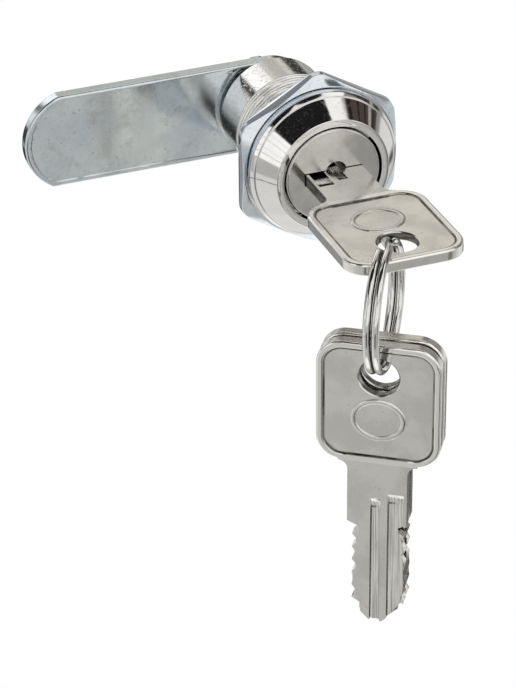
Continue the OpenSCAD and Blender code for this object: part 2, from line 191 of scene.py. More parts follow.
class KeySizes(bpy.types.PropertyGroup):
    """Keys and their ring."""
    edge_round: length("Edge rounding", "Rounding of the stamped edges", 0.12)
    bow_width: length("Bow width", "Width of a key's bow", 17.9)
    bow_length: length("Bow length", "Length of a key's bow", 19.3)
    bow_corner: length("Bow corner", "Corner radius of the bow", 3.8)
    rim_width: length("Rim width", "Width of the bow's raised rim", 1.1)
    panel_depth: length("Panel depth", "Depth of the bow's panel below its rim", 0.22)
    hole_inset: length("Hole inset", "Distance from the bow's end to the middle of its hole", 5.3)
    hole_radius: length("Hole radius", "Radius of the hole in the bow", 2.9)
    thickness: length("Thickness", "Thickness of a key", 1.8)
    oval_place: length("Oval place", "Distance from the hole to the middle of the raised oval", 6.9)
    oval_width: length("Oval width", "Width of the raised oval", 7.2)
    oval_height: length("Oval height", "Height of the raised oval", 6.0)
    oval_bead: length("Oval bead", "Width of the bead that draws the oval", 0.8)
    wire_radius: length("Wire radius", "Radius of the ring's wire", 0.575)
    strand_pitch: length("Strand pitch", "Distance between the ring's two turns", 1.2)
    hang_yaw: turn("Hang angle", "Angle between the ring and the lock axis", 35.0)
    crank_angle: turn("Crank angle", "Angle over which the wire changes turns", 24.0)
    crank_place: turn("Crank place", "Angle of the crank on the ring", 170.0)


class FinishColours(bpy.types.PropertyGroup):
    """Base colours of the plated metals."""
    chrome: colour("Chrome", "Bright chrome of the housing", (0.80, 0.79, 0.775))
    thread: colour("Thread", "Dull plating in the thread", (0.86, 0.845, 0.815))
    plug: colour("Plug", "Satin nickel of the plug", (0.67, 0.66, 0.63))
    nut_zinc: colour("Nut zinc", "Blued zinc of the mounting nut", (0.80, 0.825, 0.84))
    cam_zinc: colour("Cam zinc", "Dull zinc of the cam", (0.76, 0.81, 0.82))
    key_nickel: colour("Key nickel", "Warm nickel of the keys", (0.86, 0.84, 0.80))
    ring_nickel: colour("Ring nickel", "Bright nickel of the ring", (0.78, 0.77, 0.75))
    brass: colour("Brass", "Brass of the wafers", (0.72, 0.55, 0.24))
    steel: colour("Steel", "Spring steel", (0.36, 0.36, 0.37))
    nut_cloud: colour("Nut cloud", "Clouds in the mounting nut's zinc", (0.68, 0.76, 0.84))
    cam_cloud: colour("Cam cloud", "Clouds in the cam's zinc", (0.68, 0.75, 0.785))
    brass_cloud: colour("Brass cloud", "Clouds in the brass", (0.62, 0.46, 0.20))
    steel_cloud: colour("Steel cloud", "Clouds in the steel", (0.30, 0.31, 0.33))
    stain: colour("Stain", "Dull stains on zinc", (0.45, 0.455, 0.44))
    # Painted shade: the dark colour laid at the foot of a key's rim and in its bow hole
    painted_corner_shade: colour("Painted shade", "Tarnish in the corners of the keys", (0.05, 0.047, 0.042))
    # Painted shade between the two turns of the ring
    painted_gap_shade: colour("Painted gap shade", "Grime between the ring's turns", (0.07, 0.066, 0.06))


class StageSettings(bpy.types.PropertyGroup):
    """Camera, floor and lamps."""
    azimuth: turn("Azimuth", "Camera's turn about the upright", -21.124)
    elevation: turn("Elevation", "Camera's height angle", 30.354)
    roll: turn("Roll", "Camera's roll", -0.485)
    distance: length("Distance", "Camera's distance from its target", 459.88)
    focal_pixels: bpy.props.FloatProperty(
        name="Focal length", description="In pixels of the frame", default=3134.2)
    target: bpy.props.FloatVectorProperty(
        name="Target", description="Point in the middle of the frame",
        default=(-11.863 * MM, -3.9 * MM, -25.516 * MM), subtype="TRANSLATION")
    floor_drop: length("Floor drop", "Floor's height below the lock axis", 120)
    floor_size: length("Floor size", "Half the floor's side", 3000.0)
    white_share: share("White share", "Share of plain white that the floor shows", 0.85)
    fill: share("Fill", "Strength of the sky that lights the floor", 1.05)


class CamLockSettings(bpy.types.PropertyGroup):
    """All settings of the cam lock."""
    housing: bpy.props.PointerProperty(type=HousingSizes)
    nuts: bpy.props.PointerProperty(type=NutSizes)
    cam: bpy.props.PointerProperty(type=CamSizes)
    keys: bpy.props.PointerProperty(type=KeySizes)
    colours: bpy.props.PointerProperty(type=FinishColours)
    stage: bpy.props.PointerProperty(type=StageSettings)


# Surfaces

def rounded_path(corners, radius, steps=4):
    """Closed path with round corners.

    A corner C becomes the curve (1-t)^2 A + 2t(1-t) C + t^2 B, where A and B lie `radius` along
    its two sides. corners is (..., n, d) and the result (..., n * (steps + 1), d).
    """
    ahead = np.roll(corners, -1, axis=-2) - corners
    size = np.linalg.norm(ahead, axis=-1, keepdims=True)
    unit = ahead / np.maximum(size, WELD)
    reach = np.minimum(radius, ROUND_LIMIT * np.minimum(size, np.roll(size, 1, axis=-2)))
    before = (corners - reach * np.roll(unit, 1, axis=-2))[..., None, :]
    after = (corners + reach * unit)[..., None, :]
    t = np.linspace(0.0, 1.0, steps + 1)[:, None]
    curve = (1 - t) ** 2 * before + 2 * t * (1 - t) * corners[..., None, :] + t ** 2 * after
    return curve.reshape(*corners.shape[:-2], -1, corners.shape[-1])


def about_axis(radius, place, angle):
    """Points at a radius from the lock axis, at a place along it and an angle from +X to +Z."""
    return np.stack(np.broadcast_arrays(
        radius * np.cos(angle), place, radius * np.sin(angle)), axis=-1)


def smooth_step(low, high, value):
    """0 below low, 1 above high and 3t^2 - 2t^3 between them."""
    t = np.clip((value - low) / (high - low), 0.0, 1.0)
    return t * t * (3 - 2 * t)


def thread_wave(place, pitch, angle, flank):
    """Smoothed triangle wave of place / pitch - angle / turn, which makes a helix."""
    phase = np.mod(place / pitch - angle / (2 * math.pi), 1.0)
    return smooth_step(*flank, 1 - np.abs(2 * phase - 1))


def grid_object(name, grid, open_rows=False):
    """Mesh object from a (rows, columns, 3) grid that closes along its columns.

    Its rows close too, unless open_rows asks for flat ends. Faces are turned outwards by the sign
    of the volume, the sum of a . (b x c) over the triangles.
    """
    rows, columns = grid.shape[:2]
    i, j = np.meshgrid(np.arange(rows - open_rows), np.arange(columns), indexing="ij")
    down, across = (i + 1) % rows, (j + 1) % columns
    quads = np.stack([i * columns + j, i * columns + across,
                      down * columns + across, down * columns + j], axis=-1).reshape(-1, 4)
    points = grid.reshape(-1, 3)
    a, b, c, d = points[quads].transpose(1, 0, 2)
    inside_out = np.sum(a * np.cross(b, c)) + np.sum(a * np.cross(c, d)) < 0
    faces = quads.tolist()
    if open_rows:
        faces.append(list(range(columns))[::-1])
        faces.append(list(range((rows - 1) * columns, rows * columns)))
    if inside_out:
        faces = [face[::-1] for face in faces]
    mesh = bpy.data.meshes.new(name)
    mesh.from_pydata(points.tolist(), [], faces)
    return mesh_object(name, mesh)


def mesh_object(name, mesh):
    """Object at the origin with a merged mesh that has no faces without area."""
    clean = bmesh.new()
    clean.from_mesh(mesh)
    bmesh.ops.remove_doubles(clean, verts=clean.verts, dist=WELD)
    bmesh.ops.dissolve_degenerate(clean, edges=clean.edges, dist=WELD)
    clean.to_mesh(mesh)
    clean.free()
    mesh.update()
    piece = bpy.data.objects.new(name, mesh)
    bpy.context.scene.collection.objects.link(piece)
    return piece


def cad_copy(name, node):
    """Merged copy of a CAD node, whose own mesh is loose triangles."""
    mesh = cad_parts[node].data.copy()
    mesh.name = name
    mesh.materials.clear()
    return mesh_object(name, mesh)


def break_edges(piece, width, angle=35.0):
    """Rounds every edge sharper than the angle."""
    bevel = piece.modifiers.new("Broken edges", "BEVEL")
    bevel.width = width
    bevel.segments = 2
    bevel.limit_method = "ANGLE"
    bevel.angle_limit = math.radians(angle)
    bevel.use_clamp_overlap = True
    return piece


def shade(piece, angle=40.0):
    """Smooth shading up to an angle, with large faces kept flat."""
    piece.data.shade_smooth()
    piece.data.set_sharp_from_angle(angle=math.radians(angle))
    even = piece.modifiers.new("Even normals", "WEIGHTED_NORMAL")
    even.keep_sharp = True
    return piece


def dress(piece, body, slot, material, *nodes):
    """Gives a piece its material, the body it moves with and the nodes it stands for, which it hides. The
    slot is not used.
    """
    piece.data.materials.append(material)
    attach(piece, body)
    if nodes:
        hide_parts(*nodes)
    return piece


def housing_grid(sizes, columns=288, thread_rows=180):
    """Closed section of the housing carried round the lock axis.

    The section is a path of (radius, place) with round corners. Along the thread the radius drops
    by the depth times thread_wave, faded at both ends. The wafer pockets and the stop recess widen
    the bore over part of the turn.
    """
    angle = np.linspace(-math.pi, math.pi, columns, endpoint=False)
    head, front, end = BODY_HIGH.x, BODY_LOW.y, BODY_HIGH.y
    thread_end = sizes.thread_length - sizes.thread_bevel
    before = np.array([
        [sizes.recess_radius, sizes.recess_back], [sizes.recess_radius, front],
        [sizes.face_radius, front], [head - sizes.lip_width, front + sizes.bevel_length],
        [head - sizes.lip_width + sizes.lip_step, front + sizes.bevel_length + LIP_SLOPE],
        [head, -sizes.rim_length], [head, 0.0],
        [sizes.thread_radius, 0.0], [sizes.thread_radius, thread_end],
        [sizes.thread_radius - sizes.thread_bevel, sizes.thread_length],
        [sizes.barrel_radius, sizes.thread_length],
        [sizes.barrel_radius, end - sizes.barrel_bevel],
        [sizes.barrel_radius - sizes.barrel_bevel, end], [sizes.stop_radius + STOP_LAND, end],
    ])
    section = rounded_path(before, sizes.edge_round)
    split = int(np.argmax(section[:, 1] > 0.5 * thread_end))
    outer = [np.repeat(part[:, None, :], columns, axis=1)
             for part in (section[:split], section[split:])]

    place = np.linspace(THREAD_START, thread_end - THREAD_STOP, thread_rows)[:, None]
    wave = thread_wave(place, sizes.thread_pitch, angle, THREAD_FLANK)
    fade = smooth_step(0.0, THREAD_FADE_IN, place) * smooth_step(0.0, THREAD_FADE_OUT, thread_end - place)
    radius = sizes.thread_radius - sizes.thread_depth * wave * fade
    thread = np.stack(np.broadcast_arrays(radius, place), axis=-1)

    quarter = np.abs(np.mod(angle + math.pi / 4, math.pi / 2) - math.pi / 4)
    pocket = np.where(quarter < sizes.pocket_half, sizes.pocket_radius, sizes.bore_radius)
    turned = np.mod(-angle, 2 * math.pi)
    in_stop = (turned > STOP_FROM) & (turned < STOP_TO)
    stop = np.where(in_stop, sizes.stop_radius, sizes.bore_radius)
    bore = np.full(columns, sizes.bore_radius)
    stop_floor = end - sizes.stop_depth
    inner = [(stop, end), (stop, stop_floor), (bore, stop_floor), (bore, sizes.pocket_end),
             (pocket, sizes.pocket_end), (pocket, sizes.recess_back)]
    inner = np.stack([np.stack(np.broadcast_arrays(r, y), axis=-1) for r, y in inner])

    rows = np.concatenate([outer[0], thread, outer[1], inner])
    return about_axis(rows[..., 0], rows[..., 1], angle)


def hexagon_radius(angle, apothem, sharpness=90.0):
    """Radius of a hexagon with slightly rounded corners.

    It is the apothem over the p-norm of the cosines to the six flats, with p the sharpness.
    """
    flats = np.arange(HEX_SIDES) * 2 * math.pi / HEX_SIDES
    near = np.clip(np.cos(angle[:, None] - flats), 0.0, None)
    return apothem / np.sum(near ** sharpness, axis=1) ** (1 / sharpness)


def nut_grid(apothem, bore, front, back, sizes, mounting=False, columns=384):
    """Hexagon nut: a closed section for each angle.

    Each section runs from the bore over the flat land, up the chamfer to the hexagon's own radius at
    that angle, and back, so the chamfer's edge follows its true curve. The corners are turned down to
    corner ((hexagon / corner)^-q + 1)^(-1/q), a soft minimum. The mounting nut has a collar in front
    of its land, crowned flats and a back with only broken edges.
    """
    angle = np.linspace(0, 2 * math.pi, columns, endpoint=False)
    corner = sizes.corner_radius if mounting else sizes.stud_corner_radius
    outer = hexagon_radius(angle, apothem)
    outer = corner * ((outer / corner) ** -CORNER_POWER + 1) ** (-1 / CORNER_POWER)
    land = sizes.land_share * apothem
    drop = (outer - land) * math.tan(NUT_CHAMFER)
    if mounting:
        collar, step = sizes.collar_radius, front + sizes.collar_height
        crown, middle = sizes.crown, CROWN_FRONT * (step + drop) + CROWN_BACK * back
        path = [(collar, front), (collar, step), (land, step), (outer - crown, step + drop),
                (outer, middle), (outer - crown, back - NUT_BACK_LENGTH), (outer - NUT_BACK_IN, back)]
    else:
        path = [(land, front), (outer, front + drop), (outer, back - drop), (land, back)]
    path = [(bore, front + NUT_LEAD), (bore + NUT_LEAD, front), *path,
            (bore + NUT_LEAD, back), (bore, back - NUT_LEAD)]
    path = np.stack([np.stack(np.broadcast_arrays(r, y, angle)[:2], axis=-1) for r, y in path], axis=1)
    section = rounded_path(path, sizes.edge_round)
    return about_axis(section[..., 0].T, section[..., 1].T, angle)


def stud_thread_grid(sizes, columns=96, rows=64):
    """Thread on the plug's tail behind the cam nut, as a thin sleeve.

    Its radius is the tail's plus the depth times thread_wave, which fades to nothing at the end. Both
    edges turn down into the tail.
    """
    angle = np.linspace(-math.pi, math.pi, columns, endpoint=False)
    start, end = CAM_NUT_HIGH.y - STUD_OVERLAP, PLUG_END - sizes.stud_bevel
    place = np.linspace(start, end, rows)[:, None]
    wave = thread_wave(place, sizes.stud_pitch, angle, STUD_FLANK)
    fade = smooth_step(0.0, STUD_FADE, end - place)
    radius = sizes.stud_radius - STUD_SINK + sizes.stud_depth * wave * fade
    sunk = np.full((1, columns), sizes.stud_radius - STUD_EDGE_SINK)
    radius = np.concatenate([sunk, radius, sunk])
    place = np.concatenate([place[:1], place, place[-1:]])
    return about_axis(radius, place, angle)


def cam_grid(sizes, straight=40, arc=48, bend=80):
    """Edge section of the cam carried along its outline.

    The outline is two straight sides, the arc of the tip and the half circle round the plug. Each
    row of the section is the outline moved inwards and set at a place; the last rows are the square
    hole, met at the same polar angle.
    """
    half, reach = CAM_HIGH.z, -CAM_LOW.x
    chord = math.hypot(half, sizes.tip_skew / 2)
    tip_radius = (chord ** 2 + sizes.tip_rise ** 2) / (2 * sizes.tip_rise)
    lean = math.atan(sizes.tip_skew / (2 * half))
    middle = tip_radius - reach
    drop = (sizes.tip_rise - tip_radius) * math.sin(lean)
    first = math.pi - math.asin((half - drop) / tip_radius)
    last = math.pi + math.asin((half + drop) / tip_radius)
    run = np.linspace(0, 1, straight, endpoint=False)
    tip = first + (last - first) * np.linspace(0, 1, arc)
    end = -math.pi / 2 + math.pi * np.linspace(0, 1, bend, endpoint=False)
    arch = np.stack([middle + tip_radius * np.cos(tip), drop + tip_radius * np.sin(tip)], axis=1)
    outline = np.concatenate([
        np.stack([arch[0, 0] * run, np.full(straight, half)], axis=1), arch,
        np.stack([arch[-1, 0] * (1 - run[1:]), np.full(straight - 1, -half)], axis=1),
        np.stack([half * np.cos(end), half * np.sin(end)], axis=1),
    ])
    along = np.roll(outline, -1, axis=0) - np.roll(outline, 1, axis=0)
    outward = np.stack([along[:, 1], -along[:, 0]], axis=1)
    outward /= np.linalg.norm(outward, axis=1, keepdims=True)
    front, back = CAM_LOW.y, CAM_HIGH.y
    corners = np.array([[CAM_INSET, front], [0.0, front], [0.0, back], [CAM_INSET, back]])
    radii = np.array([[WELD], [sizes.front_round], [sizes.back_round], [WELD]])
    section = rounded_path(corners, radii, steps=6)
    edge = outline - section[:, None, :1] * outward
    polar = np.arctan2(outline[:, 1], outline[:, 0])
    to_side = np.maximum(np.abs(np.cos(polar)), np.abs(np.sin(polar)))
    hole = np.stack([np.cos(polar), np.sin(polar)], axis=1) * (sizes.hole_side / 2 / to_side)[:, None]
    flat = np.concatenate([edge, hole[None], hole[None]])
    place = np.concatenate([section[:, 1], [back, front]])[:, None]
    return np.stack(np.broadcast_arrays(flat[..., 0], place, flat[..., 1]), axis=-1)


def key_axes(node_name, sizes):
    """A key's own origin in its bow hole, and its axes across, along to the tip and through."""
    low, high = (np.array(corner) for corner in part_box(node_name))
    middle = (low + high) / 2
    if node_name == "key_in_lock":
        return np.array([middle[0], low[1] + sizes.hole_inset, middle[2]]), np.eye(3)
    cos_yaw, sin_yaw = math.cos(sizes.hang_yaw), math.sin(sizes.hang_yaw)
    axes = np.array([[-cos_yaw, sin_yaw, 0.0], [0.0, 0.0, -1.0], [-sin_yaw, -cos_yaw, 0.0]])
    return np.array([middle[0], middle[1], high[2] - sizes.hole_inset]), axes


def mark_key_place(piece, origin, axes):
    """Stores each point's place in the key's own axes as the attribute key_place."""
    points = np.empty(3 * len(piece.data.vertices), np.float32)
    piece.data.vertices.foreach_get("co", points)
    own = (points.reshape(-1, 3) - origin) @ axes.T
    made = piece.data.attributes.new("key_place", "FLOAT_VECTOR", "POINT")
    made.data.foreach_set("vector", own.astype(np.float32).ravel())


def oval_grid(sizes, side, stations=120, sides=14):
    """Plain raised oval on one face of a bow, in the key's own axes.

    A flat ellipse of section, half sunk in the panel, is carried round the oval. Its width lies
    along the oval's outward normal, the ellipse's gradient at that angle.
    """
    a = np.linspace(0, 2 * math.pi, stations, endpoint=False)[:, None]
    s = np.linspace(0, 2 * math.pi, sides, endpoint=False)
    half = np.array([sizes.oval_width, sizes.oval_height]) / 2
    outward = np.concatenate([np.cos(a) / half[0], np.sin(a) / half[1]], axis=1)
    outward /= np.linalg.norm(outward, axis=1, keepdims=True)
    off = sizes.oval_bead / 2 * np.cos(s)
    x = half[0] * np.cos(a) + off * outward[:, :1]
    y = sizes.oval_place + half[1] * np.sin(a) + off * outward[:, 1:]
    panel = sizes.thickness / 2 - sizes.panel_depth
    z = side * (panel + OVAL_RISE * sizes.panel_depth * np.sin(s))
    return np.stack(np.broadcast_arrays(x, y, z), axis=-1)


def ring_grid(sizes, stations=420, sides=20):
    """Round wire carried along two flat turns joined by a crank.

    At angle a the wire's middle is at the ring's radius, and its offset across the ring goes from
    minus to plus half the strand pitch over the crank. The ends are rounded by a shrinking radius.
    """
    centre = (np.array(RING_LOW) + np.array(RING_HIGH)) / 2
    middle = (RING_HIGH.z - RING_LOW.z) / 2 - sizes.wire_radius
    half = sizes.crank_angle / 2
    a = np.linspace(half + RING_GAP, 4 * math.pi - half - RING_GAP, stations)[:, None]
    shift = np.clip((a - 2 * math.pi) / half, -1, 1)
    shift = np.sin(shift * math.pi / 2) * sizes.strand_pitch / 2
    from_end = np.minimum(a - a[0], a[-1] - a) * middle
    taper = 1 - np.clip(from_end / (END_LENGTH * sizes.wire_radius), 0, 1)
    wire = sizes.wire_radius * np.sqrt(1 - taper ** 2 * END_TAPER)
    s = np.linspace(0, 2 * math.pi, sides, endpoint=False)
    radius = middle + wire * np.cos(s)
    across = shift + wire * np.sin(s)
    # The ring's own axis turns from +Z to +X, then by the hang angle about the upright
    place = a + sizes.crank_place
    x, y, z = across, radius * np.sin(place), -radius * np.cos(place)
    cos_yaw, sin_yaw = math.cos(-sizes.hang_yaw), math.sin(-sizes.hang_yaw)
    return centre + np.stack([x * cos_yaw - y * sin_yaw, x * sin_yaw + y * cos_yaw, z], axis=-1)


# Finishes

# Axes that are kept to measure the distance from the lock's axis and from the middle of a bow's hole
ACROSS_LOCK, ACROSS_KEY = (1.0, 0.0, 1.0), (1.0, 1.0, 0.0)

# How far each mark darkens or lightens its metal
THREAD_ROOT_SHADE, CHROME_CLOUD, PLUG_CLOUD, ZINC_PIT, RING_FLECK = 0.4, 0.95, 0.86, 0.72, 0.75
KEY_CLOUD, KEY_PIT, KEY_RIM_WEAR_AND_HIGHLIGHT, CUT_DARK, CUT_BRIGHT = 0.9, 0.7, 1.1, 0.56, 1.3

# Roughness from clear to clouded plating, and that of the thread and of a key's rim and cuts
CHROME_POLISH, PLUG_SATIN, KEY_SATIN, RING_POLISH = (0.035, 0.075), (0.17, 0.24), (0.2, 0.28), (0.07, 0.16)
THREAD_SATIN, KEY_POLISH, FLECK_SATIN, STAIN_SATIN = 0.24, 0.14, 0.07, 0.12
ZINC_SATIN = (0.8, 1.3)

# Depth and strength of each finish's fine relief
CHROME_RELIEF, PLUG_RELIEF, ZINC_RELIEF = (0.006 * MM, 0.6), (0.004 * MM, 0.35), (0.006 * MM, 0.3)
KEY_RELIEF, RING_RELIEF = (0.004 * MM, 0.4), (0.003 * MM, 0.2)
RIPPLE, BARREL_PITS, BARREL_GRAIN = 0.35, -3.0, 2.0
PLAIN_MARKS, CUT_MARKS = 0.3, 2.5

# Places behind the head and at the barrel's start where the finish changes, and the shares of the
# thread's depth between which its roots are darkened as painted shade
HEAD_BACK, BARREL_EARLY = 0.05 * MM, 0.02 * MM
ROOT_SHARES = (0.9, 0.3)

# Noise values between which stains show, and strengths of the painted shade at a key's rim foot, in
# its bow hole and between the ring's turns
STAIN_RANGE = (0.47, 0.66)
CORNER_SHADE_SHARE, HOLE_SHADE_SHARE, GAP_SHADE_SHARE = 0.92, 0.7, 0.85

# Keys: edges of the painted shade at the rim's foot and in the hole, of the rim, which is rubbed smooth
# and painted lighter as a highlight, and of the grooves below the face, and the start of the blade
# behind the bow; ring: edges of its painted shade between the turns
FOOT_NEAR, FOOT_FAR = 0.07 * MM, 0.26 * MM
HOLE_EDGE = 0.12 * MM
RIM_OUTER, RIM_INNER = 0.02 * MM, 0.1 * MM
GROOVE_DEEP, GROOVE_SHALLOW = 0.3 * MM, 0.12 * MM
BLADE_GAP = 0.3 * MM
GAP_SHADE_NEAR, GAP_SHADE_FAR = 0.06 * MM, 0.34 * MM

# Zinc, brass and steel: material, tint, cloud, roughness, size of the clouds, strength of the stains
ZINC_FINISHES = (
    ("blued_zinc", "nut_zinc", "nut_cloud", 0.09, 0.006, 0.25),
    ("dull_zinc", "cam_zinc", "cam_cloud", 0.12, 0.007, 0.42),
    ("wafer_brass", "brass", "brass_cloud", 0.24, 0.003, 0.0),
    ("spring_steel", "steel", "steel_cloud", 0.3, 0.002, 0.0),
)


def node(tree, kind, inputs=None, **settings):
    """Adds a node, sets its properties, and fills each input with a value or a link."""
    made = tree.nodes.new(kind)
    made.location = (220 * (len(tree.nodes) % 8), -260 * (len(tree.nodes) // 8))
    for key, value in settings.items():
        setattr(made, key, value)
    for key, value in (inputs or {}).items():
        if isinstance(value, bpy.types.NodeSocket):
            tree.links.new(value, made.inputs[key])
        else:
            made.inputs[key].default_value = value
    return made


def maths(tree, operation, *values):
    """Math node; gives its output."""
    return node(tree, "ShaderNodeMath", dict(enumerate(values)), operation=operation).outputs[0]


def between(tree, value, low, high, to_low=0.0, to_high=1.0):
    """Smooth map of a value from one range to another; gives its output."""
    return node(tree, "ShaderNodeMapRange", {
        "Value": value, "From Min": low, "From Max": high, "To Min": to_low, "To Max": to_high,
    }, interpolation_type="SMOOTHSTEP").outputs["Result"]


def spread(tree, mask, low, high):
    """Map of a mask to the range from low to high; gives its output."""
    return between(tree, mask, 0.0, 1.0, low, high)


def mix_value(tree, factor, first, second):
    """Mix of two values; gives its output."""
    return node(tree, "ShaderNodeMix", {0: factor, 2: first, 3: second}).outputs[0]


def blend(tree, factor, first, second):
    """Mix of two colours; gives its output."""
    made = node(tree, "ShaderNodeMix", data_type="RGBA")
    sockets = (made.inputs[0], made.inputs[6], made.inputs[7])
    for socket, value in zip(sockets, (factor, first, second)):
        if isinstance(value, bpy.types.NodeSocket):
            tree.links.new(value, socket)
        else:
            socket.default_value = value
    return made.outputs[2]


def new_group(name, inputs, outputs):
    """Empty shader group with float inputs, a Vector input and float outputs."""
    group = bpy.data.node_groups.new(name, "ShaderNodeTree")
    for label, default in inputs.items():
        kind = "NodeSocketVector" if default is None else "NodeSocketFloat"
        socket = group.interface.new_socket(name=label, in_out="INPUT", socket_type=kind)
        if default is not None:
            socket.default_value = default
    for label in outputs:
        group.interface.new_socket(name=label, in_out="OUTPUT", socket_type="NodeSocketFloat")
    return group, group.nodes.new("NodeGroupInput"), group.nodes.new("NodeGroupOutput")


def plating_group():
    """Cloudy tarnish, small pits and a fine grain of a plated surface."""
    group, given, result = new_group(
        "Plating", {"Vector": None, "Cloud size": 0.004, "Fleck size": 0.0004, "Fleck share": 0.2},
        ("Clouds", "Flecks", "Grain"))
    cloud = node(group, "ShaderNodeTexNoise", {
        "Vector": given.outputs["Vector"], "Detail": 4.0, "Roughness": 0.6,
        "Scale": maths(group, "DIVIDE", 1.0, given.outputs["Cloud size"])})
    fleck_scale = maths(group, "DIVIDE", 1.0, given.outputs["Fleck size"])
    fleck = node(group, "ShaderNodeTexNoise", {
        "Vector": given.outputs["Vector"], "Detail": 1.0, "Scale": fleck_scale})
    grain = node(group, "ShaderNodeTexNoise", {
        "Vector": given.outputs["Vector"], "Detail": 2.0,
        "Scale": maths(group, "MULTIPLY", fleck_scale, 2.5)})
    limit = maths(group, "SUBTRACT", 0.75, maths(group, "MULTIPLY", given.outputs["Fleck share"], 0.4))
    flecks = between(group, fleck.outputs["Fac"], limit, maths(group, "ADD", limit, 0.08))
    group.links.new(between(group, cloud.outputs["Fac"], 0.35, 0.65), result.inputs["Clouds"])
    group.links.new(flecks, result.inputs["Flecks"])
    group.links.new(grain.outputs["Fac"], result.inputs["Grain"])
    return group


def marks_group():
    """Fine marks drawn out along one direction, as rubbing and broaching leave them."""
    group, given, result = new_group(
        "Marks", {"Vector": None, "Width": 0.0002, "Stretch": 30.0}, ("Marks",))
    along = node(group, "ShaderNodeCombineXYZ", {
        "X": 1.0, "Y": maths(group, "DIVIDE", 1.0, given.outputs["Stretch"]), "Z": 1.0})
    drawn = node(group, "ShaderNodeVectorMath", {
        0: given.outputs["Vector"], 1: along.outputs["Vector"]}, operation="MULTIPLY")
    streaks = node(group, "ShaderNodeTexNoise", {
        "Vector": drawn.outputs["Vector"], "Detail": 3.0, "Roughness": 0.65,
        "Scale": maths(group, "DIVIDE", 1.0, given.outputs["Width"])})
    group.links.new(between(group, streaks.outputs["Fac"], 0.3, 0.7), result.inputs["Marks"])
    return group


def metal(name, roughness):
    """New material with a bare metal shader; gives its tree, its shader and Object coordinates."""
    material = bpy.data.materials.new(name)
    material.use_nodes = True
    tree = material.node_tree
    shader = tree.nodes["Principled BSDF"]
    shader.inputs["Metallic"].default_value = 1.0
    shader.inputs["Roughness"].default_value = roughness
    place = node(tree, "ShaderNodeTexCoord").outputs["Object"]
    return tree, shader, place


def rgba(value, factor=1.0):
    """Colour with alpha, made darker or lighter by a factor."""
    return (*(channel * factor for channel in value), 1.0)


def toned(tree, mask, tint, factor):
    """Tint that a mask darkens or lightens by a factor; gives its output."""
    return blend(tree, mask, rgba(tint), rgba(tint, factor))


def effect(tree, name, inputs):
    """Shared effect placed in a tree with its own values; gives its outputs."""
    return node(tree, "ShaderNodeGroup", inputs, node_tree=bpy.data.node_groups[name]).outputs


def flat_distance(tree, place, kept):
    """Distance from an axis: the length of the place in the two axes that are kept."""
    flat = node(tree, "ShaderNodeVectorMath", {0: place, 1: kept}, operation="MULTIPLY").outputs["Vector"]
    return node(tree, "ShaderNodeVectorMath", {0: flat}, operation="LENGTH").outputs["Value"]


def plate(tree, shader, base, rough, height, relief):
    """Puts a finish on the shader: its colour, its roughness and a relief of (depth, strength)."""
    fine = node(tree, "ShaderNodeBump", {"Height": height, "Distance": relief[0], "Strength": relief[1]})
    for name, value in (("Base Color", base), ("Roughness", rough), ("Normal", fine.outputs["Normal"])):
        tree.links.new(value, shader.inputs[name])


def chrome_finish(colours, sizes):
    """Bright chrome with a faint ripple and dust, pits on the barrel, dull plating in the thread and painted
    shade in its roots.
    """
    tree, shader, place = metal("polished_chrome", 0.06)
    plating = effect(tree, "Plating", {
        "Vector": place, "Cloud size": 0.003, "Fleck size": 0.0005, "Fleck share": 0.4})
    axis = node(tree, "ShaderNodeSeparateXYZ", {"Vector": place}).outputs["Y"]
    behind_head = maths(tree, "GREATER_THAN", axis, HEAD_BACK)
    on_barrel = maths(tree, "GREATER_THAN", axis, sizes.thread_length - BARREL_EARLY)
    in_thread = maths(tree, "SUBTRACT", behind_head, on_barrel)
    low, high = (sizes.thread_radius - part * sizes.thread_depth for part in ROOT_SHARES)
    # Painted shade: the thread's roots are darkened by depth
    root = between(tree, flat_distance(tree, place, ACROSS_LOCK), low, high, 1.0, 0.0)
    thread = toned(tree, root, colours.thread, THREAD_ROOT_SHADE)
    bright = toned(tree, plating["Clouds"], colours.chrome, CHROME_CLOUD)
    polish = maths(tree, "ADD", spread(tree, plating["Clouds"], *CHROME_POLISH),
                   maths(tree, "MULTIPLY", plating["Flecks"], FLECK_SATIN))
    grain = maths(tree, "ADD", maths(tree, "MULTIPLY", plating["Flecks"], BARREL_PITS),
                  maths(tree, "MULTIPLY", plating["Grain"], BARREL_GRAIN))
    height = maths(tree, "ADD", maths(tree, "MULTIPLY", plating["Clouds"], RIPPLE),
                   maths(tree, "MULTIPLY", grain, on_barrel))
    plate(tree, shader, blend(tree, in_thread, bright, thread),
          mix_value(tree, in_thread, polish, THREAD_SATIN), height, CHROME_RELIEF)


def plug_finish(colours):
    """Satin nickel with fine turning lines round the lock axis."""
    tree, shader, place = metal("satin_nickel", 0.3)
    plating = effect(tree, "Plating", {"Vector": place, "Cloud size": 0.005, "Fleck share": 0.05})
    lines = node(tree, "ShaderNodeTexNoise", {
        "W": flat_distance(tree, place, ACROSS_LOCK), "Scale": 9000.0, "Detail": 2.0},
        noise_dimensions="1D")
    plate(tree, shader, toned(tree, plating["Clouds"], colours.plug, PLUG_CLOUD),
          spread(tree, plating["Clouds"], *PLUG_SATIN), lines.outputs["Fac"], PLUG_RELIEF)


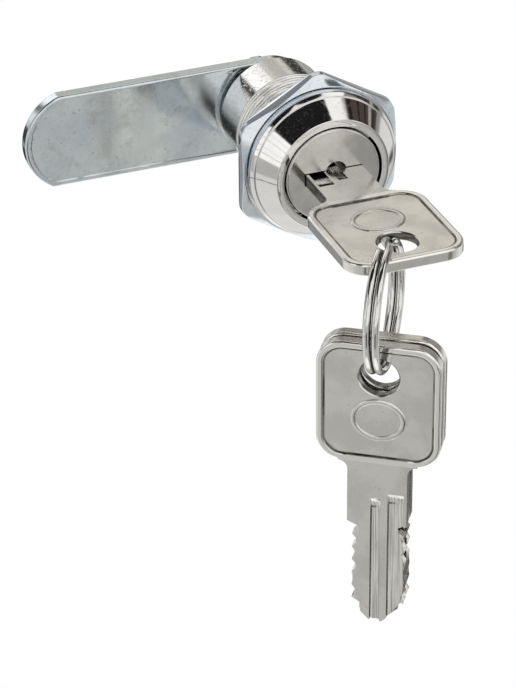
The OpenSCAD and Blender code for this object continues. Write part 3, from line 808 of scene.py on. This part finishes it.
def zinc_finish(name, tint, cloud, roughness, cloud_size, stain, stain_tint):
    """Plating with clouds of another tint, small pits, a fine grain and stains of a given strength."""
    tree, shader, place = metal(name, roughness)
    plating = effect(tree, "Plating", {
        "Vector": place, "Cloud size": cloud_size, "Fleck size": 0.00045, "Fleck share": 0.22})
    tinted = blend(tree, plating["Clouds"], rgba(tint), rgba(cloud))
    pitted = blend(tree, plating["Flecks"], tinted, rgba(tint, ZINC_PIT))
    smudge = node(tree, "ShaderNodeTexNoise", {
        "Vector": place, "Scale": 190.0, "Detail": 8.0, "Roughness": 0.78})
    stained = between(tree, smudge.outputs["Fac"], *STAIN_RANGE, 0.0, stain)
    satin = spread(tree, plating["Clouds"], *(roughness * part for part in ZINC_SATIN))
    rough = maths(tree, "ADD", satin, maths(tree, "MULTIPLY", stained, STAIN_SATIN))
    plate(tree, shader, blend(tree, stained, pitted, rgba(stain_tint)), rough, plating["Grain"], ZINC_RELIEF)


def bow_inset(tree, across, along, sizes):
    """Inset from the bow's outline, that of a rounded box: corner - |max(q, 0)| - min(max(q), 0).

    q is the distance from the bow's middle less the straight half sides.
    """
    corner, middle = sizes.bow_corner, sizes.bow_length / 2 - sizes.hole_inset
    q_x = maths(tree, "SUBTRACT", maths(tree, "ABSOLUTE", across), sizes.bow_width / 2 - corner)
    q_y = maths(tree, "ABSOLUTE", maths(tree, "SUBTRACT", along, middle))
    q_y = maths(tree, "SUBTRACT", q_y, sizes.bow_length / 2 - corner)
    squares = [maths(tree, "POWER", maths(tree, "MAXIMUM", q, 0.0), 2.0) for q in (q_x, q_y)]
    beyond = maths(tree, "SQRT", maths(tree, "ADD", *squares))
    within = maths(tree, "MINIMUM", maths(tree, "MAXIMUM", q_x, q_y), 0.0)
    return maths(tree, "SUBTRACT", corner, maths(tree, "ADD", beyond, within))


def key_finish(colours, sizes):
    """Worn nickel: a rubbed rim lightened as a painted highlight, painted shade at the rim's foot and in the
    hole, cutter marks in the grooves.
    """
    tree, shader, place = metal("key_nickel", 0.26)
    plating = effect(tree, "Plating", {
        "Vector": place, "Cloud size": 0.005, "Fleck size": 0.0004, "Fleck share": 0.1})
    own = node(tree, "ShaderNodeAttribute", attribute_name="key_place").outputs["Vector"]
    across, along, through = node(tree, "ShaderNodeSeparateXYZ", {"Vector": own}).outputs
    inset = bow_inset(tree, across, along, sizes)
    # Painted shade: a dark line at the foot of the rim and a dark bow hole, weaker where the clouds are high
    from_foot = maths(tree, "ABSOLUTE", maths(tree, "SUBTRACT", inset, sizes.rim_width))
    foot = maths(tree, "MULTIPLY", between(tree, from_foot, FOOT_NEAR, FOOT_FAR, 1.0, 0.0),
                 spread(tree, plating["Clouds"], 1.0, 0.6))
    hole_shade = between(tree, flat_distance(tree, own, ACROSS_KEY), sizes.hole_radius,
                      sizes.hole_radius + HOLE_EDGE, HOLE_SHADE_SHARE, 0.0)
    painted_corner_shade = maths(tree, "MULTIPLY", maths(tree, "MAXIMUM", foot, hole_shade), CORNER_SHADE_SHARE)
    on_rim = maths(tree, "MULTIPLY", maths(tree, "GREATER_THAN", inset, RIM_OUTER),
                   maths(tree, "LESS_THAN", inset, sizes.rim_width - RIM_INNER))

    face = sizes.thickness / 2
    below_face = between(tree, maths(tree, "ABSOLUTE", through), face - GROOVE_DEEP,
                         face - GROOVE_SHALLOW, 1.0, 0.0)
    blade_start = sizes.bow_length - sizes.hole_inset + BLADE_GAP
    in_groove = maths(tree, "MULTIPLY", below_face, maths(tree, "GREATER_THAN", along, blade_start))
    marks = effect(tree, "Marks", {"Vector": own, "Width": 0.0002, "Stretch": 50.0})["Marks"]

    nickel = colours.key_nickel
    clouded = toned(tree, plating["Clouds"], nickel, KEY_CLOUD)
    pitted = blend(tree, plating["Flecks"], clouded, rgba(nickel, KEY_PIT))
    # Rim rubbed smooth, and its colour lightened as a painted highlight
    rim_worn_and_lit = blend(tree, on_rim, pitted, rgba(nickel, KEY_RIM_WEAR_AND_HIGHLIGHT))
    cuts = blend(tree, marks, rgba(nickel, CUT_DARK), rgba(nickel, CUT_BRIGHT))
    grooved = blend(tree, in_groove, rim_worn_and_lit, cuts)
    rough = mix_value(tree, maths(tree, "MAXIMUM", on_rim, in_groove),
                      spread(tree, plating["Clouds"], *KEY_SATIN), KEY_POLISH)
    height = maths(tree, "MULTIPLY", marks, spread(tree, in_groove, PLAIN_MARKS, CUT_MARKS))
    plate(tree, shader, blend(tree, painted_corner_shade, grooved, rgba(colours.painted_corner_shade)), rough, height, KEY_RELIEF)


def ring_finish(colours, sizes):
    """Bright drawn wire with painted shade where its two turns touch, the plane through the ring's middle.
    """
    tree, shader, place = metal("ring_nickel", 0.1)
    centre = (Vector(RING_LOW) + Vector(RING_HIGH)) / 2
    axis = Vector((math.cos(sizes.hang_yaw), -math.sin(sizes.hang_yaw), 0.0))
    across = node(tree, "ShaderNodeVectorMath", {0: place, 1: axis}, operation="DOT_PRODUCT")
    from_plane = maths(tree, "SUBTRACT", across.outputs["Value"], centre.dot(axis))
    # Painted shade: dark colour along the plane where the two turns touch
    painted_gap_shade = between(tree, maths(tree, "ABSOLUTE", from_plane), GAP_SHADE_NEAR, GAP_SHADE_FAR, GAP_SHADE_SHARE, 0.0)
    plating = effect(tree, "Plating", {
        "Vector": place, "Cloud size": 0.003, "Fleck size": 0.0003, "Fleck share": 0.15})
    flecked = toned(tree, plating["Flecks"], colours.ring_nickel, RING_FLECK)
    plate(tree, shader, blend(tree, painted_gap_shade, flecked, rgba(colours.painted_gap_shade)),
          spread(tree, plating["Clouds"], *RING_POLISH), plating["Grain"], RING_RELIEF)


def finish(name):
    """A finish that the first operator has made."""
    return bpy.data.materials[name]


# Operators

class CAMLOCK_OT_finishes(bpy.types.Operator):
    """Make the shared effects and the plated metals"""
    bl_idname = "cam_lock.finishes"
    bl_label = "Finishes"

    def execute(self, context):
        settings = context.scene.cam_lock
        colours = settings.colours
        plating_group()
        marks_group()
        chrome_finish(colours, settings.housing)
        plug_finish(colours)
        for name, tint, cloud, *numbers in ZINC_FINISHES:
            zinc_finish(name, getattr(colours, tint), getattr(colours, cloud), *numbers, colours.stain)
        key_finish(colours, settings.keys)
        ring_finish(colours, settings.keys)
        return {"FINISHED"}


class CAMLOCK_OT_housing(bpy.types.Operator):
    """Turn the housing with its thread"""
    bl_idname = "cam_lock.housing"
    bl_label = "Housing"

    def execute(self, context):
        piece = grid_object("housing_turned", housing_grid(context.scene.cam_lock.housing))
        dress(shade(piece), "housing", "chrome_housing", finish("polished_chrome"), "lock_body")
        return {"FINISHED"}


class CAMLOCK_OT_nuts(bpy.types.Operator):
    """Make the mounting nut and the cam nut"""
    bl_idname = "cam_lock.nuts"
    bl_label = "Nuts"

    def execute(self, context):
        sizes = context.scene.cam_lock.nuts
        big = nut_grid(NUT_HIGH.x, sizes.bore_radius, NUT_LOW.y, NUT_HIGH.y, sizes, True)
        dress(shade(grid_object("mounting_nut_plated", big)), "clamp_nut", "zinc_nut",
              finish("blued_zinc"), "mounting_nut")
        small = nut_grid(CAM_NUT_HIGH.x, sizes.stud_bore_radius, CAM_NUT_LOW.y, CAM_NUT_HIGH.y, sizes,
                         columns=192)
        dress(shade(grid_object("cam_nut_plated", small)), "turning_plug", "zinc_cam",
              finish("dull_zinc"), "cam_nut")
        return {"FINISHED"}


class CAMLOCK_OT_plug(bpy.types.Operator):
    """Finish the plug and what turns with it"""
    bl_idname = "cam_lock.plug"
    bl_label = "Plug"

    def execute(self, context):
        plug = break_edges(cad_copy("plug_finished", "plug"), PLUG_EDGE)
        dress(shade(plug), "turning_plug", "nickel_plug", finish("satin_nickel"), "plug")
        thread = grid_object("stud_thread_cut", stud_thread_grid(context.scene.cam_lock.nuts))
        dress(shade(thread), "turning_plug", "nickel_plug", finish("satin_nickel"))
        for node_name in ("stop_washer", "cam_lock_washer"):
            washer = break_edges(cad_copy(node_name + "_finished", node_name), WASHER_EDGE)
            dress(shade(washer), "turning_plug", "zinc_cam", finish("dull_zinc"), node_name)
        for node_name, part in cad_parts.items():
            if node_name.startswith("wafer"):
                name = "spring_steel" if "spring" in node_name else "wafer_brass"
                part.data.materials.clear()
                part.data.materials.append(finish(name))
        return {"FINISHED"}


class CAMLOCK_OT_cam(bpy.types.Operator):
    """Make the punched cam"""
    bl_idname = "cam_lock.cam"
    bl_label = "Cam"

    def execute(self, context):
        piece = grid_object("cam_punched", cam_grid(context.scene.cam_lock.cam))
        dress(shade(piece), "turning_plug", "zinc_cam", finish("dull_zinc"), "cam")
        return {"FINISHED"}


class CAMLOCK_OT_keys(bpy.types.Operator):
    """Finish the three keys and wind their ring"""
    bl_idname = "cam_lock.keys"
    bl_label = "Keys and ring"

    def execute(self, context):
        sizes = context.scene.cam_lock.keys
        for node_name, body in (("key_in_lock", "key"), ("spare_key_front", "spare_front"),
                                ("spare_key_rear", "spare_rear")):
            piece = cad_copy(node_name + "_finished", node_name)
            origin, axes = key_axes(node_name, sizes)
            mark_key_place(piece, origin, axes)
            break_edges(piece, sizes.edge_round)
            dress(shade(piece), body, "nickel_key", finish("key_nickel"), node_name)
            for face, side in (("face", 1), ("back", -1)):
                oval = grid_object(f"{node_name}_oval_{face}", origin + oval_grid(sizes, side) @ axes)
                mark_key_place(oval, origin, axes)
                dress(shade(oval), body, "nickel_key", finish("key_nickel"))
        ring = grid_object("split_ring_wound", ring_grid(sizes), open_rows=True)
        dress(shade(ring, 60.0), "ring", "nickel_ring", finish("ring_nickel"), "key_ring")
        return {"FINISHED"}


def studio_card_group():
    """Soft-edged card on the sky: 1 inside its azimuth and elevation, 0 outside."""
    group, given, result = new_group(
        "Studio card", {"Azimuth": 0.0, "Elevation": 0.0, "Middle azimuth": 0.0, "Middle elevation": 0.0,
                        "Half width": 0.2, "Half height": 0.2, "Softness": 0.05}, ("Mask",))
    sides = []
    for place, middle, half in (("Azimuth", "Middle azimuth", "Half width"),
                                ("Elevation", "Middle elevation", "Half height")):
        off = maths(group, "SUBTRACT", given.outputs[place], given.outputs[middle])
        off = maths(group, "ABSOLUTE", maths(group, "WRAP", off, math.pi, -math.pi))
        low = maths(group, "SUBTRACT", given.outputs[half], given.outputs["Softness"])
        high = maths(group, "ADD", given.outputs[half], given.outputs["Softness"])
        sides.append(between(group, off, low, high, 1.0, 0.0))
    group.links.new(maths(group, "MULTIPLY", *sides), result.inputs["Mask"])
    return group


# Room that polished metal mirrors, below and above a soft horizon
FLOOR_SHADE = (0.80, 0.80, 0.79)
ROOM_SHADE = (0.30, 0.30, 0.29)
HORIZON_LOW, HORIZON_HIGH = math.radians(-4), math.radians(2)
WHITE = (1.0, 1.0, 1.0)
MATT_WHITE = (0.9, 0.9, 0.9)
CLIP_START = 0.01

# Cards in that room: these angles in degrees, then the shade
CARD_ANGLES = ("Middle azimuth", "Middle elevation", "Half width", "Half height", "Softness")
STUDIO_CARDS = (
    (0, -38, 75, 34, 12, (0.54, 0.54, 0.53)),
    (0, -82, 180, 15, 4, (1.15, 1.15, 1.15)),
    (38, -24, 11, 14, 4, (0.16, 0.16, 0.15)),
    (9, 34, 56, 40, 3, (0.98, 0.98, 0.98)),
    (36, 22, 7, 8, 1.5, (0.12, 0.13, 0.14)),
    (58, 4, 8, 9, 3, (0.40, 0.42, 0.44)),
    (-20, 33, 7, 6, 2, (0.05, 0.045, 0.04)),
    (-21, -33, 15, 14, 4, (0.04, 0.04, 0.04)),
    (180, 38, 42, 26, 6, (0.74, 0.72, 0.665)),
    (143, 30, 8, 11, 3, (0.16, 0.16, 0.15)),
    (160, -31, 22, 11, 1, (0.60, 0.60, 0.58)),
    (130, -35, 9, 11, 2, (0.10, 0.10, 0.095)),
    (160, -13, 12, 9, 2, (0.03, 0.03, 0.03)),
    (160, -42, 22, 0.5, 0.3, (0.06, 0.06, 0.06)),
    (-80, 17, 13, 18, 1, (1.15, 1.15, 1.15)),
    (-80, 6, 13, 0.6, 0.5, (0.72, 0.72, 0.72)),
    (-80, 12.5, 13, 0.4, 0.4, (0.80, 0.80, 0.80)),
    (-80, 22, 13, 0.5, 0.5, (0.78, 0.78, 0.78)),
    (-80, 29, 13, 0.4, 0.4, (0.85, 0.85, 0.85)),
    (-87, -11, 8, 9, 1.5, (0.52, 0.52, 0.51)),
    (-91, -27, 20, 0.5, 0.35, (0.04, 0.04, 0.04)),
    (-92, 66, 45, 30, 1.5, (0.012, 0.012, 0.012)),
    (0, 89, 180, 20, 2, (0.012, 0.012, 0.012)),
    (76, 59, 15, 12, 1.2, (1.12, 1.12, 1.10)),
    (100, 26, 12, 21, 1.2, (0.085, 0.060, 0.050)),
    (100, 43, 12, 2.5, 0.8, (0.020, 0.018, 0.016)),
    (100, 31, 12, 1.2, 0.6, (0.020, 0.018, 0.016)),
    (100, 22, 12, 1, 0.5, (0.020, 0.018, 0.016)),
    (100, 15, 12, 2, 0.8, (0.42, 0.40, 0.37)),
    (100, 9.5, 12, 1.5, 0.7, (0.04, 0.04, 0.035)),
    (-160, 43, 13, 9.5, 1, (0.24, 0.24, 0.25)),
    (-170, 24, 12, 9, 1, (1.35, 1.35, 1.34)),
    (-148, 8, 5, 8, 2, (1.00, 1.00, 1.00)),
    (-154.5, 21, 3, 10, 1.2, (0.06, 0.06, 0.065)),
    (165, 27, 7, 7, 2.5, (0.56, 0.55, 0.51)),
    (-156, -28, 12, 12, 2, (0.33, 0.34, 0.35)),
    (-172, -28, 9, 12, 2, (0.04, 0.045, 0.05)),
    (149, 11, 5, 8, 2, (0.05, 0.05, 0.045)),
    (147, -10, 6, 8, 2, (0.42, 0.41, 0.38)),
    (-151, -15, 7, 9, 2, (0.05, 0.05, 0.055)),
)


def studio_sky(world, stage):
    """White sky for the camera; metal mirrors the room and its cards; the rest gets a plain fill."""
    world.use_nodes = True
    tree = world.node_tree
    tree.nodes.clear()
    studio_card_group()
    ray = node(tree, "ShaderNodeTexCoord").outputs["Generated"]
    x, y, z = node(tree, "ShaderNodeSeparateXYZ", {"Vector": ray}).outputs
    azimuth = maths(tree, "ARCTAN2", x, maths(tree, "MULTIPLY", y, -1.0))
    elevation = maths(tree, "ARCSINE", z)
    seen = blend(tree, between(tree, elevation, HORIZON_LOW, HORIZON_HIGH),
                 rgba(FLOOR_SHADE), rgba(ROOM_SHADE))
    for *angles, card_shade in STUDIO_CARDS:
        card = {"Azimuth": azimuth, "Elevation": elevation}
        card.update(zip(CARD_ANGLES, map(math.radians, angles)))
        seen = blend(tree, effect(tree, "Studio card", card)["Mask"], seen, rgba(card_shade))
    path = node(tree, "ShaderNodeLightPath")
    mirrored = maths(tree, "MAXIMUM", path.outputs["Is Glossy Ray"], path.outputs["Is Transmission Ray"])
    shown = blend(tree, mirrored, rgba(WHITE), seen)
    backdrop = node(tree, "ShaderNodeBackground", {"Color": shown, "Strength": 1.0})
    light = node(tree, "ShaderNodeBackground", {"Color": rgba(WHITE), "Strength": stage.fill})
    whole = node(tree, "ShaderNodeMixShader", {
        0: maths(tree, "MAXIMUM", path.outputs["Is Camera Ray"], mirrored),
        1: light.outputs["Background"], 2: backdrop.outputs["Background"]})
    output = node(tree, "ShaderNodeOutputWorld")
    tree.links.new(whole.outputs["Shader"], output.inputs["Surface"])


def floor_finish(stage):
    """Pale floor: mostly plain white to the camera, the rest matt, which keeps shadows."""
    material = bpy.data.materials.new("pale_floor")
    material.use_nodes = True
    tree = material.node_tree
    tree.nodes.clear()
    path = node(tree, "ShaderNodeLightPath")
    straight = maths(tree, "MAXIMUM", path.outputs["Is Camera Ray"], path.outputs["Is Transmission Ray"])
    matt = node(tree, "ShaderNodeBsdfDiffuse", {"Color": rgba(MATT_WHITE)})
    white = node(tree, "ShaderNodeEmission", {"Color": rgba(WHITE), "Strength": 1.0})
    whole = node(tree, "ShaderNodeMixShader", {
        0: maths(tree, "MULTIPLY", straight, stage.white_share),
        1: matt.outputs["BSDF"], 2: white.outputs["Emission"]})
    output = node(tree, "ShaderNodeOutputMaterial")
    tree.links.new(whole.outputs["Shader"], output.inputs["Surface"])
    return material


def direction(azimuth, elevation):
    """Unit vector at an azimuth from -Y towards +X and an elevation, in degrees."""
    a, e = math.radians(azimuth), math.radians(elevation)
    return Vector((math.sin(a) * math.cos(e), -math.cos(a) * math.cos(e), math.sin(e)))


# Softboxes: azimuth, elevation, distance in metres, width, height, brightness as the metal shows it
SOFTBOXES = (
    ("left_softbox", -80.0, 17.0, 0.9, 0.52, 0.52, 1.35),
    ("upper_softbox", 78.0, 59.0, 0.9, 0.36, 0.36, 1.3),
    ("back_softbox", -170.0, 33.0, 1.2, 0.42, 0.16, 1.3),
)


def add_softbox(name, azimuth, elevation, distance, width, height, brightness):
    """Area lamp that faces the lock. Its power is brightness times pi times its area."""
    lamp = bpy.data.lights.new(name, "AREA")
    lamp.shape = "RECTANGLE"
    lamp.size, lamp.size_y = width, height
    lamp.energy = brightness * math.pi * width * height
    holder = bpy.data.objects.new(name, lamp)
    bpy.context.scene.collection.objects.link(holder)
    holder.visible_glossy = False
    away = direction(azimuth, elevation)
    holder.location = away * distance
    holder.rotation_euler = away.to_track_quat("Z", "Y").to_euler()
    return holder


class CAMLOCK_OT_stage(bpy.types.Operator):
    """Set up the floor, sky, softboxes and camera"""
    bl_idname = "cam_lock.stage"
    bl_label = "Stage"

    def execute(self, context):
        scene = context.scene
        stage = scene.cam_lock.stage
        scene.view_settings.view_transform = "Standard"
        scene.world = scene.world or bpy.data.worlds.new("studio")
        studio_sky(scene.world, stage)
        for box in SOFTBOXES:
            add_softbox(*box)

        side, drop = stage.floor_size, -stage.floor_drop
        mesh = bpy.data.meshes.new("pale_floor")
        corners = [(-side, -side, drop), (side, -side, drop), (side, side, drop), (-side, side, drop)]
        mesh.from_pydata(corners, [], [(0, 1, 2, 3)])
        floor = bpy.data.objects.new("pale_floor", mesh)
        scene.collection.objects.link(floor)
        mesh.materials.append(floor_finish(stage))
        # Metal mirrors the sky's own floor shade, with its cards
        floor.visible_glossy = False

        camera = bpy.data.cameras.new("photo_camera")
        camera.lens = stage.focal_pixels * SENSOR_MM / IMAGE_LONG_SIDE
        camera.sensor_width = SENSOR_MM
        camera.clip_start = CLIP_START
        holder = bpy.data.objects.new("photo_camera", camera)
        scene.collection.objects.link(holder)
        back = direction(math.degrees(stage.azimuth), math.degrees(stage.elevation))
        level = Vector((math.cos(stage.azimuth), math.sin(stage.azimuth), 0.0))
        upright = back.cross(level)
        right = level * math.cos(stage.roll) + upright * math.sin(stage.roll)
        up = upright * math.cos(stage.roll) - level * math.sin(stage.roll)
        spot = Vector(stage.target) + back * stage.distance
        holder.matrix_world = Matrix((
            (right.x, up.x, back.x, spot.x), (right.y, up.y, back.y, spot.y),
            (right.z, up.z, back.z, spot.z), (0.0, 0.0, 0.0, 1.0)))
        scene.camera = holder
        return {"FINISHED"}


class CAMLOCK_PT_panel(bpy.types.Panel):
    """Cam lock's steps in the sidebar"""
    bl_label = "Cam Lock"
    bl_idname = "CAMLOCK_PT_panel"
    bl_space_type = "VIEW_3D"
    bl_region_type = "UI"
    bl_category = "Cam Lock"

    def draw(self, context):
        for step in STEPS:
            self.layout.operator(step.bl_idname)
        for part in ("housing", "nuts", "cam", "keys", "colours", "stage"):
            box = self.layout.box()
            box.label(text=part.title())
            group = getattr(context.scene.cam_lock, part)
            for name in group.__annotations__:
                box.prop(group, name)


STEPS = (CAMLOCK_OT_finishes, CAMLOCK_OT_housing, CAMLOCK_OT_nuts, CAMLOCK_OT_plug, CAMLOCK_OT_cam,
         CAMLOCK_OT_keys, CAMLOCK_OT_stage)
CLASSES = (HousingSizes, NutSizes, CamSizes, KeySizes, FinishColours, StageSettings, CamLockSettings,
           *STEPS, CAMLOCK_PT_panel)


def register():
    """Registers the classes and gives the scene its settings."""
    for made in CLASSES:
        bpy.utils.register_class(made)
    bpy.types.Scene.cam_lock = bpy.props.PointerProperty(type=CamLockSettings)


def unregister():
    """Takes the settings and the classes away again."""
    del bpy.types.Scene.cam_lock
    for made in reversed(CLASSES):
        bpy.utils.unregister_class(made)


def main():
    """Builds the dressed lock."""
    register()
    bpy.ops.cam_lock.finishes()
    bpy.ops.cam_lock.housing()
    bpy.ops.cam_lock.nuts()
    bpy.ops.cam_lock.plug()
    bpy.ops.cam_lock.cam()
    bpy.ops.cam_lock.keys()
    bpy.ops.cam_lock.stage()


if __name__ == "__main__":
    main()
